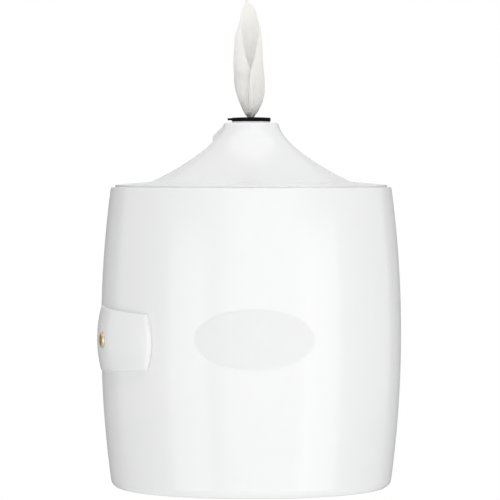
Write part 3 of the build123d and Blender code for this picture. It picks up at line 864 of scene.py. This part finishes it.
@dataclass
class CamLock(DressedNodes):
    """Cam lock in the pad: turned brass on its own axis, with a plated cam."""

    body_thread_from: float = 1.5 * MM

    def turned_brass(self, piece: str, colour: Triple, tarnish: Triple, **sizes: float) -> TurnedMetal:
        """Turn brass about the lock's own axis.

        Args:
            piece: The piece's name, for the material.
            colour: Clean brass.
            tarnish: Dull brass.
            **sizes: The finish's roughness, and where a thread starts.

        Returns:
            The finish.
        """
        joint = next(j for j in self.frame["joints"] if j["name"] == "lock_turn")
        return TurnedMetal(
            name=f"turned_brass_{piece}",
            colour=colour,
            tarnish=tarnish,
            origin=Vector(joint["pos_m"]),
            axis=Vector(joint["axis"]).normalized(),
            **sizes,
        )

    def finishes(self) -> dict[str, Finish]:
        """Choose the lock's finishes.

        Returns:
            The finish of each of its nodes.
        """
        body = self.turned_brass(
            "body",
            (0.78, 0.66, 0.43),
            (0.6, 0.47, 0.27),
            roughness=0.22,
            thread_from=self.body_thread_from,
        )
        plug = self.turned_brass("plug", (0.74, 0.61, 0.37), (0.55, 0.42, 0.23), roughness=0.24)
        nut = self.turned_brass("nut", (0.72, 0.58, 0.34), (0.54, 0.41, 0.22), roughness=0.3)
        return {
            "lock_body": body,
            "lock_plug": plug,
            "lock_nut": nut,
            "lock_wafers": WAFER_BRASS,
            "lock_washer": SCREW_STEEL,
            "lock_cam": CAM_STEEL,
            "cam_screw": SCREW_STEEL,
        }


@dataclass(frozen=True)
class LeafLevel:
    """One level of the drawn wipe, in millimetres but for the last three.

    It holds the height, the sides and hems seen from the front, the depth in front and behind and
    the lean. The wrap of one side past the other is in degrees, and the depths of the pleats and
    the folds are shares of the radius.
    """

    rise: float
    left: float
    right: float
    left_hem: float
    right_hem: float
    front: float
    back: float
    lean: float
    wrap: float
    pleat: float
    fold: float


STEM_LEVELS = (
    LeafLevel(-150.0, -1.6, 1.6, -0.4, 0.1, 1.6, 1.6, 0.0, 10.0, 0.2, 0.0),
    LeafLevel(-120.0, -2.5, 2.5, -0.6, 0.1, 2.5, 2.5, 0.0, 20.0, 0.66, 0.0),
    LeafLevel(-60.0, -2.62, 2.62, -0.6, 0.1, 2.62, 2.62, 0.0, 30.0, 0.76, 0.0),
    LeafLevel(-1.0, -2.62, 2.62, -1.0, 0.0, 2.62, 2.62, 0.0, 30.0, 0.74, 0.0),
)
BLADE_LEVELS = (
    LeafLevel(1.2, -4.4, 3.2, 0.6, -0.6, 3.0, 2.8, 0.0, 60.0, 0.56, 0.0),
    LeafLevel(3.5, -6.2, 5.1, 2.0, -1.2, 3.9, 3.4, 0.1, 110.0, 0.4, 0.02),
    LeafLevel(8.3, -8.4, 7.8, 3.6, -1.5, 5.0, 4.4, 0.2, 150.0, 0.24, 0.06),
    LeafLevel(13.6, -10.6, 10.1, 4.6, -1.7, 5.8, 5.2, 0.3, 190.0, 0.15, 0.14),
    LeafLevel(19.0, -12.5, 11.5, 5.0, -1.9, 6.4, 5.8, 0.4, 200.0, 0.1, 0.2),
    LeafLevel(24.3, -14.1, 12.1, 4.8, -2.0, 6.8, 6.2, 0.5, 190.0, 0.07, 0.24),
    LeafLevel(32.0, -15.3, 12.0, 3.4, -1.5, 7.2, 6.8, 0.6, 140.0, 0.045, 0.26),
    LeafLevel(37.0, -15.4, 11.7, 2.2, -0.9, 7.4, 7.0, 0.7, 60.0, 0.035, 0.26),
    LeafLevel(41.0, -15.5, 11.4, 0.6, -0.3, 7.4, 7.2, 0.8, 6.0, 0.03, 0.26),
    LeafLevel(45.6, -15.7, 10.9, -2.0, 0.7, 7.4, 7.3, 1.0, 0.0, 0.025, 0.26),
    LeafLevel(50.9, -15.8, 10.4, -4.3, 2.1, 7.2, 7.4, 1.2, 0.0, 0.02, 0.26),
    LeafLevel(61.5, -15.1, 10.1, -6.4, 4.6, 6.6, 7.0, 1.8, 0.0, 0.015, 0.2),
    LeafLevel(72.2, -14.2, 9.4, -7.9, 6.5, 5.4, 6.2, 2.4, 0.0, 0.01, 0.12),
    LeafLevel(77.5, -12.5, 8.6, -8.3, 7.0, 4.4, 5.6, 2.8, 0.0, 0.01, 0.08),
    LeafLevel(82.8, -10.6, 7.5, -8.8, 6.6, 3.2, 5.0, 3.0, 0.0, 0.01, 0.05),
    LeafLevel(88.1, -9.5, 5.8, -9.2, 5.5, 2.0, 4.2, 3.0, 0.0, 0.01, 0.03),
    LeafLevel(93.5, -8.6, 4.3, -8.5, 4.2, 1.2, 3.2, 2.8, 0.0, 0.01, 0.0),
    LeafLevel(98.8, -6.7, 1.4, -6.7, 1.4, 0.8, 2.0, 2.4, 0.0, 0.005, 0.0),
    LeafLevel(102.6, -5.5, -1.9, -5.5, -1.9, 0.5, 0.9, 2.2, 0.0, 0.0, 0.0),
    LeafLevel(104.0, -4.6, -3.9, -4.6, -3.9, 0.2, 0.3, 2.0, 0.0, 0.0, 0.0),
)


@dataclass
class DrawnWipe:
    """One wipe pulled out by its corner: a pleated stem in the nozzle and a folded leaf above.

    The flat cloth is in metres, the least half width, the stem's turn and the ripple in millimetres,
    the tuck's start and run in degrees, and the rest are counts and shares.
    """

    width: float = 152 * MM
    length: float = 203 * MM
    cloth_t: float = 0.16 * MM
    columns: int = 250
    rows: int = 185
    foot_rows: float = 0.3
    widest_share: float = 0.78
    levels: tuple[LeafLevel, ...] = STEM_LEVELS + BLADE_LEVELS
    thinnest: float = 0.05
    pleats: int = 29
    back_folds: int = 5
    pleat_spread: float = 0.5
    front_calm: float = 0.5
    stem_turn: float = 62.0
    tuck_from: float = 300.0
    tuck_over: float = 60.0
    tuck: float = 0.2
    coil: float = 0.9
    coil_most: float = 0.5
    hem_reach: float = 0.012
    hem_lift: float = 0.08
    ripple: float = 0.3
    axis_y: float = field(init=False)
    top_z: float = field(init=False)
    diagonal: float = field(init=False)

    def __post_init__(self) -> None:
        """Read where the nozzle's top and axis stand in the frame."""
        low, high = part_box("nozzle_collar")
        self.axis_y = (low.y + high.y) / 2
        self.top_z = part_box("nozzle_grommet")[1].z
        self.diagonal = math.hypot(self.width, self.length)

    def level_at(self, rise: float) -> LeafLevel:
        """Read the level at a height, on a smooth curve through the levels around it.

        Args:
            rise: Height over the grommet in millimetres.

        Returns:
            The level.
        """
        if rise <= self.levels[0].rise:
            return self.levels[0]
        last = len(self.levels) - 1
        below = next((i for i in range(last) if self.levels[i + 1].rise >= rise), last - 1)
        around = [self.levels[min(max(below + k, 0), last)] for k in (-1, 0, 1, 2)]
        rises, *sizes = ([getattr(level, f.name) for level in around] for f in fields(LeafLevel))
        return LeafLevel(rise, *(smooth_curve(rises, values, rise) for values in sizes))

    def cut_width(self, drop: float) -> float:
        """Measure the flat wipe across its diagonal.

        Args:
            drop: Distance below the drawn corner, along the diagonal.

        Returns:
            The wipe's width there.
        """
        slope = self.width / self.length + self.length / self.width
        widest = 2 * self.width * self.length / self.diagonal * self.widest_share
        return min(slope * drop, slope * (self.diagonal - drop), widest)

    def inside(self, past: float) -> float:
        """Tuck one side in under the other.

        Args:
            past: Degrees round the leaf from the right hem.

        Returns:
            How far in the cloth lies, as a share of its radius.
        """
        under = smooth_step((past - self.tuck_from) / self.tuck_over) * self.tuck
        coiled = max(past - 360.0, 0.0) / 360.0 * self.coil
        return under + min(coiled, self.coil_most)

    def gathering(self, level: LeafLevel, across: float, angle: float) -> float:
        """Gather the cloth into fine pleats all round and broad folds at the back.

        Args:
            level: The level at this height.
            across: From 0 at the right hem to 1 at the left hem.
            angle: Where the cloth stands round the leaf, in radians from the right.

        Returns:
            How far in the gathering pulls the cloth, as a share of its radius.
        """
        wander = noise.noise(Vector((across * 6.0, level.rise * 0.02, 0.0)))
        uneven = noise.noise(Vector((across * 9.0, level.rise * 0.03, 4.0)))
        behind = smooth_step(math.sin(angle) * 1.6)
        pull = 1.0 + self.pleat_spread * uneven * smooth_step(level.rise / 4.0)
        pull *= 1.0 - self.front_calm * (1.0 - behind) * smooth_step(level.rise / 8.0)
        fine = 0.5 - 0.5 * math.cos(angle * self.pleats + 1.5 * wander)
        broad = 0.5 - 0.5 * math.cos(angle * 2 * self.back_folds + 2.0 * wander)
        return level.pleat * fine * pull + level.fold * broad * behind

    def hem_angle(self, level: LeafLevel, hem: float) -> float:
        """Find where a hem stands round the leaf.

        Args:
            level: The level at this height.
            hem: The hem's place across the leaf, seen from the front.

        Returns:
            Its angle in degrees from the right side.
        """
        middle = (level.left + level.right) / 2
        half = max((level.right - level.left) / 2, self.thinnest)
        return math.degrees(math.acos(min(max((hem - middle) / half, -1.0), 1.0)))

    def folded(self, across: float, drop: float) -> Vector:
        """Fold a point of the cloth.

        Args:
            across: From 0 at the right hem to 1 at the left hem.
            drop: Distance below the drawn corner, in metres.

        Returns:
            Where the point stands in the frame.
        """
        rise = self.levels[-1].rise - drop / MM
        level = self.level_at(rise)
        half = max((level.right - level.left) / 2, self.thinnest)
        start = -self.hem_angle(level, level.right_hem)
        end = 360.0 - self.hem_angle(level, level.left_hem) + level.wrap
        past = (end - start) * across
        angle = math.radians(start + past)
        scale = 1.0 - self.inside(past) - self.gathering(level, across, angle)
        curl = math.exp(-across / self.hem_reach) + math.exp(-(1.0 - across) / self.hem_reach)
        lift = self.hem_lift * curl * smooth_step(rise / 20.0)
        drift = noise.noise(Vector((across * 3.0, rise * 0.06, 9.0)))
        depth = level.back if math.sin(angle) > 0 else level.front
        side = half * scale * math.cos(angle)
        out = depth * (scale + lift) * math.sin(angle)
        out += self.ripple * drift * smooth_step(rise / 30.0)
        twist = math.radians(min(rise, 0.0) * 360.0 / self.stem_turn)
        x = side * math.cos(twist) - out * math.sin(twist) + (level.left + level.right) / 2
        y = side * math.sin(twist) + out * math.cos(twist) + level.lean
        return Vector((x * MM, self.axis_y + y * MM, self.top_z + rise * MM))

    def drop_at(self, along: float) -> float:
        """Place a row of the grid.

        Most rows are spread evenly down the levels. The others stand close together where the
        levels end, 0.4 mm past the cloth's far corner, and turn back to that corner.

        Args:
            along: From 0 at the far corner to 1 at the drawn corner.

        Returns:
            The row's distance below the drawn corner, in metres.
        """
        run = (self.levels[-1].rise - self.levels[0].rise) * MM
        if along > self.foot_rows:
            return run * (1.0 - along) / (1.0 - self.foot_rows)
        return run + (self.diagonal - run) * (1.0 - along / self.foot_rows)

    def sheet(self) -> bpy.types.Object:
        """Cut the flat sheet, fold it point by point and give it its thickness.

        Returns:
            The folded sheet, with its flat cut as its map.
        """
        deselect()
        bpy.ops.mesh.primitive_grid_add(
            x_subdivisions=self.columns, y_subdivisions=self.rows, size=1.0, calc_uvs=True
        )
        sheet = active_piece("drawn_wipe")
        flat = {}
        for vertex in sheet.data.vertices:
            across = vertex.co.x + 0.5
            drop = self.drop_at(vertex.co.y + 0.5)
            flat[vertex.index] = ((across - 0.5) * self.cut_width(drop), -drop)
            vertex.co = self.folded(across, drop)
        layer = sheet.data.uv_layers.active.data
        for loop in sheet.data.loops:
            layer[loop.index].uv = flat[loop.vertex_index]
        finish_with(sheet, "SOLIDIFY", thickness=self.cloth_t, offset=0.0)
        settle(sheet)
        bpy.ops.object.shade_smooth()
        return sheet

    def build(self) -> bpy.types.Object:
        """Returns:
            The wipe.
        """
        sheet = self.sheet()
        sheet.data.materials.append(DAMP_CLOTH.make())
        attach(sheet, "wipe")
        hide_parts("wipe_tail")
        LOG.info("%s: %d faces", sheet.name, len(sheet.data.polygons))
        return sheet


@dataclass
class WoundRoll:
    """The centre-drawn roll on the tray: layered ends, an open core and the cloth's loose edge."""

    segments: int = 144
    end_rings: int = 26
    side_rings: int = 14
    edge_r: float = 2.5 * MM
    tail_step: float = 0.7 * MM
    end_ripple: float = 0.35 * MM
    layer: float = 0.55 * MM
    weld: float = 0.02 * MM
    sharp_over: float = 50.0
    low: float = field(init=False)
    high: float = field(init=False)
    centre: Vector = field(init=False)
    outer_r: float = field(init=False)
    bore_r: float = field(init=False)

    def __post_init__(self) -> None:
        """Read the roll's size and place from its frame node."""
        low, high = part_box("wipe_roll")
        self.low = low.z
        self.high = high.z
        self.centre = Vector(((low.x + high.x) / 2, (low.y + high.y) / 2, 0.0))
        self.outer_r = (high.x - low.x) / 2
        points = (Vector((v.co.x, v.co.y, 0.0)) for v in bpy.data.objects["wipe_roll"].data.vertices)
        self.bore_r = min((point - self.centre).length for point in points)

    def ring_path(self) -> list[tuple[float, float]]:
        """Lay the rings along the roll's section.

        Returns:
            Radius and height of each ring, from the core's foot round to its top.
        """
        span = self.outer_r - self.bore_r
        out = [self.bore_r + span * k / self.end_rings for k in range(self.end_rings + 1)]
        foot = self.low + self.edge_r
        run = self.high - self.low - 2 * self.edge_r
        side = [foot + run * k / self.side_rings for k in range(self.side_rings + 1)]
        bottom = [(r, self.low) for r in out[:-1]]
        outer = [(self.outer_r, z) for z in side]
        top = [(r, self.high) for r in reversed(out[:-1])]
        core = [(self.bore_r, z) for z in reversed(side[1:-1])]
        return bottom + outer + top + core

    def blank(self) -> bpy.types.Object:
        """Extrude one ring round the roll's section.

        Returns:
            The plain roll.
        """
        path = self.ring_path()
        deselect()
        bpy.ops.mesh.primitive_circle_add(
            vertices=self.segments,
            radius=path[0][0],
            location=(self.centre.x, self.centre.y, path[0][1]),
        )
        roll = active_piece("wound_roll")
        bpy.ops.object.mode_set(mode="EDIT")
        bpy.ops.mesh.select_all(action="SELECT")
        for (before, low), (radius, high) in zip(path, path[1:] + path[:1]):
            rise = {"value": (0.0, 0.0, high - low)}
            bpy.ops.mesh.extrude_region_move(TRANSFORM_OT_translate=rise)
            bpy.ops.transform.resize(
                value=(radius / before, radius / before, 1.0),
                center_override=(self.centre.x, self.centre.y, high),
            )
        bpy.ops.mesh.select_all(action="SELECT")
        bpy.ops.mesh.remove_doubles(threshold=self.weld)
        bpy.ops.mesh.normals_make_consistent(inside=False)
        bpy.ops.object.mode_set(mode="OBJECT")
        settle(roll)
        return roll

    def wind(self, roll: bpy.types.Object) -> None:
        """Spiral the outside to its loose edge and let the layers stand a little unevenly.

        Args:
            roll: The plain roll, whose vertices are moved.
        """
        middle = (self.low + self.high) / 2
        for vertex in roll.data.vertices:
            offset = vertex.co - self.centre
            radius = math.hypot(offset.x, offset.y)
            share = (radius - self.bore_r) / (self.outer_r - self.bore_r)
            turn = (math.atan2(offset.y, offset.x) + math.pi) / FULL_TURN
            shrink = 1.0 - self.tail_step * turn * share / radius
            vertex.co.x = self.centre.x + offset.x * shrink
            vertex.co.y = self.centre.y + offset.y * shrink
            if min(vertex.co.z - self.low, self.high - vertex.co.z) < self.edge_r:
                lift = noise.noise(Vector((radius * 160.0, turn * 2.0, 0.0)))
                inward = 1.0 if vertex.co.z < middle else -1.0
                vertex.co.z += inward * self.end_ripple * (1.0 + lift)

    def cloth(self) -> WoundCloth:
        """Fit the wound cloth to the roll.

        Returns:
            The roll's finish.
        """
        return WoundCloth(
            name="wound_wipe_cloth",
            colour=(0.88, 0.875, 0.86),
            # Painted shade in the layer gaps on the ends, and the thin web's tone on the side.
            gap=(0.74, 0.735, 0.72),
            centre=self.centre,
            layer=self.layer,
            low=self.low,
            high=self.high,
        )

    def build(self) -> bpy.types.Object:
        """Returns:
            The roll.
        """
        roll = self.blank()
        self.wind(roll)
        pick(roll)
        bpy.ops.object.shade_smooth_by_angle(angle=math.radians(self.sharp_over))
        roll.data.materials.append(self.cloth().make())
        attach(roll, "root")
        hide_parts("wipe_roll")
        LOG.info("%s: %d faces", roll.name, len(roll.data.polygons))
        return roll


@dataclass(frozen=True)
class Lamp:
    """One soft rectangular lamp that faces the object."""

    name: str
    offset: Triple
    width: float
    height: float
    power: float


@dataclass(frozen=True)
class Card:
    """One upright grey card that shades the gloss and that the camera doesn't see."""

    name: str
    angle: float
    width: float
    low: float
    high: float
    grey: float


LAMPS = (
    Lamp("key_lamp", (0.4, -2.4, -0.15), 3.2, 2.4, 17.6),
    Lamp("left_fill", (-1.9, -1.6, -0.45), 1.4, 1.8, 10.0),
    Lamp("right_fill", (2.0, -1.5, -0.45), 1.4, 1.8, 11.5),
    Lamp("overhead_lamp", (0.0, -0.4, 2.3), 3.4, 2.8, 28.0),
    Lamp("glint_lamp", (0.25, -1.5, 1.5), 0.3, 0.22, 1.0),
    Lamp("back_fill", (0.0, 2.4, 0.2), 1.6, 1.6, 5.0),
)
CARDS = (
    Card("left_card", -146.0, 1.15, -0.7, 0.5, 0.3),
    Card("right_card", 150.0, 1.1, -0.7, 0.5, 0.36),
    Card("back_card", 180.0, 2.4, 0.145, 0.95, 0.76),
)


@dataclass
class Studio:
    """White surroundings, soft lamps, three grey cards, the floor and the camera."""

    axis_y: float
    aim: Vector
    azimuth: float = -1.3
    distance: float = 3.0
    camera_height: float = 0.150
    frame_width: float = 0.4435
    sensor: float = 36.0
    view_depth: float = 60.0
    card_reach: float = 1.3
    card_mottle: float = 0.3
    card_grain: float = 2 * MM
    floor_z: float = -1.15
    floor_size: float = 14.0
    floor_grain: float = 0.4
    floor_glow: float = 0.12
    floor_seen: float = 0.4
    world_light: float = 0.53

    def camera(self) -> None:
        """Add the camera at the photograph's view."""
        turn = math.radians(self.azimuth)
        x = self.aim.x + self.distance * math.sin(turn)
        y = self.aim.y - self.distance * math.cos(turn)
        place = Vector((x, y, self.camera_height))
        deselect()
        bpy.ops.object.camera_add(location=place)
        eye = bpy.context.active_object
        eye.name = "view_camera"
        eye.rotation_euler = (self.aim - place).to_track_quat("-Z", "Y").to_euler()
        eye.data.sensor_width = self.sensor
        eye.data.lens = self.sensor * (self.aim - place).length / self.frame_width
        eye.data.clip_end = self.view_depth
        bpy.context.scene.camera = eye

    def hang_lamp(self, lamp: Lamp) -> None:
        """Add one lamp, turned to the point that the camera looks at.

        Args:
            lamp: The lamp's place from that point, its size and its power.
        """
        offset = Vector(lamp.offset)
        deselect()
        bpy.ops.object.light_add(type="AREA", location=self.aim + offset)
        light = bpy.context.active_object
        light.name = lamp.name
        light.rotation_euler = (-offset).to_track_quat("-Z", "Y").to_euler()
        light.data.shape = "RECTANGLE"
        light.data.size = lamp.width
        light.data.size_y = lamp.height
        light.data.energy = lamp.power

    def stand_card(self, card: Card) -> None:
        """Add one card, facing the object's axis.

        Args:
            card: The card's angle round the axis from the front, its size and its grey.
        """
        turn = math.radians(card.angle)
        deselect()
        bpy.ops.mesh.primitive_plane_add(size=1.0)
        piece = active_piece(card.name)
        piece.scale = (card.width, card.high - card.low, 1.0)
        piece.rotation_euler = Euler((math.pi / 2, 0.0, turn + math.pi), "XYZ")
        x = self.card_reach * math.sin(turn)
        y = self.axis_y - self.card_reach * math.cos(turn)
        piece.location = (x, y, (card.low + card.high) / 2)
        settle(piece)
        tree = self.stage_material(card.name, piece)
        dark = (card.grey * (1.0 - self.card_mottle),) * 3
        light = (card.grey * (1.0 + self.card_mottle),) * 3
        felt = tree.shade(tree.grain(tree.place(), self.card_grain), dark, light)
        tree.surface(tree.node("ShaderNodeBsdfDiffuse", inputs={"Color": felt}))
        piece.visible_camera = False

    def stage_material(self, name: str, piece: bpy.types.Object) -> ShaderTree:
        """Give a stage piece a new material.

        Args:
            name: The material's name.
            piece: The floor or a card.

        Returns:
            The material's empty tree.
        """
        material = bpy.data.materials.new(name)
        material.use_nodes = True
        piece.data.materials.append(material)
        return ShaderTree(material.node_tree)

    def floor(self) -> None:
        """Add the plain pale floor, evenly white to the camera, with a painted glow for all other rays
        that lights the object from below.
        """
        deselect()
        bpy.ops.mesh.primitive_plane_add(
            size=self.floor_size, location=(0.0, self.axis_y, self.floor_z)
        )
        floor = active_piece("studio_floor")
        settle(floor)
        tree = self.stage_material("pale_floor", floor)
        mottle = tree.grain(tree.place(), self.floor_grain, 3.0)
        seen = tree.node("ShaderNodeLightPath", output=SeenBy.CAMERA.value)
        # Painted light: the floor glows faintly for every ray but the camera's, which brightens the
        # object's underside.
        glow = tree.shade(seen, (self.floor_glow,) * 3, (self.floor_seen,) * 3)
        tree.surface(
            tree.principled(
                Base_Color=tree.shade(mottle, (0.84, 0.84, 0.84), (0.87, 0.87, 0.87)),
                Roughness=0.7 + mottle * 0.1,
                Emission_Color=glow,
                Emission_Strength=1.0,
            )
        )

    def world(self) -> None:
        """Light the room evenly, with white where the camera and the gloss look."""
        world = bpy.data.worlds.new("white_room")
        world.use_nodes = True
        bpy.context.scene.world = world
        tree = ShaderTree(world.node_tree)
        seen = sum(
            (tree.node("ShaderNodeLightPath", output=kind.value) for kind in SeenBy), 0.0
        )
        strength = self.world_light + seen.between(0.0, 1.0) * (1.0 - self.world_light)
        white = tree.node(
            "ShaderNodeBackground", inputs={"Color": (1.0, 1.0, 1.0, 1.0), "Strength": strength}
        )
        tree.node("ShaderNodeOutputWorld", inputs={"Surface": white}, output=None)

    def build(self) -> None:
        """Set the whole studio."""
        self.camera()
        self.world()
        self.floor()
        for lamp in LAMPS:
            self.hang_lamp(lamp)
        for card in CARDS:
            self.stand_card(card)
        bpy.context.scene.view_settings.view_transform = "Standard"
        LOG.info("studio set")


def main() -> None:
    """Dress the frame, build the soft pieces and the studio, and log the finishes and face counts."""
    logging.basicConfig(level=logging.INFO, format="%(name)s %(message)s")
    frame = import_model()
    for assembly in (Door(frame), WallUnit(frame), Lid(frame), CamLock(frame)):
        assembly.dress()
    wipe = DrawnWipe()
    wipe.build()
    WoundRoll().build()
    Studio(wipe.axis_y, Vector((-1 * MM, wipe.axis_y, 74 * MM))).build()


if __name__ == "__main__":
    main()
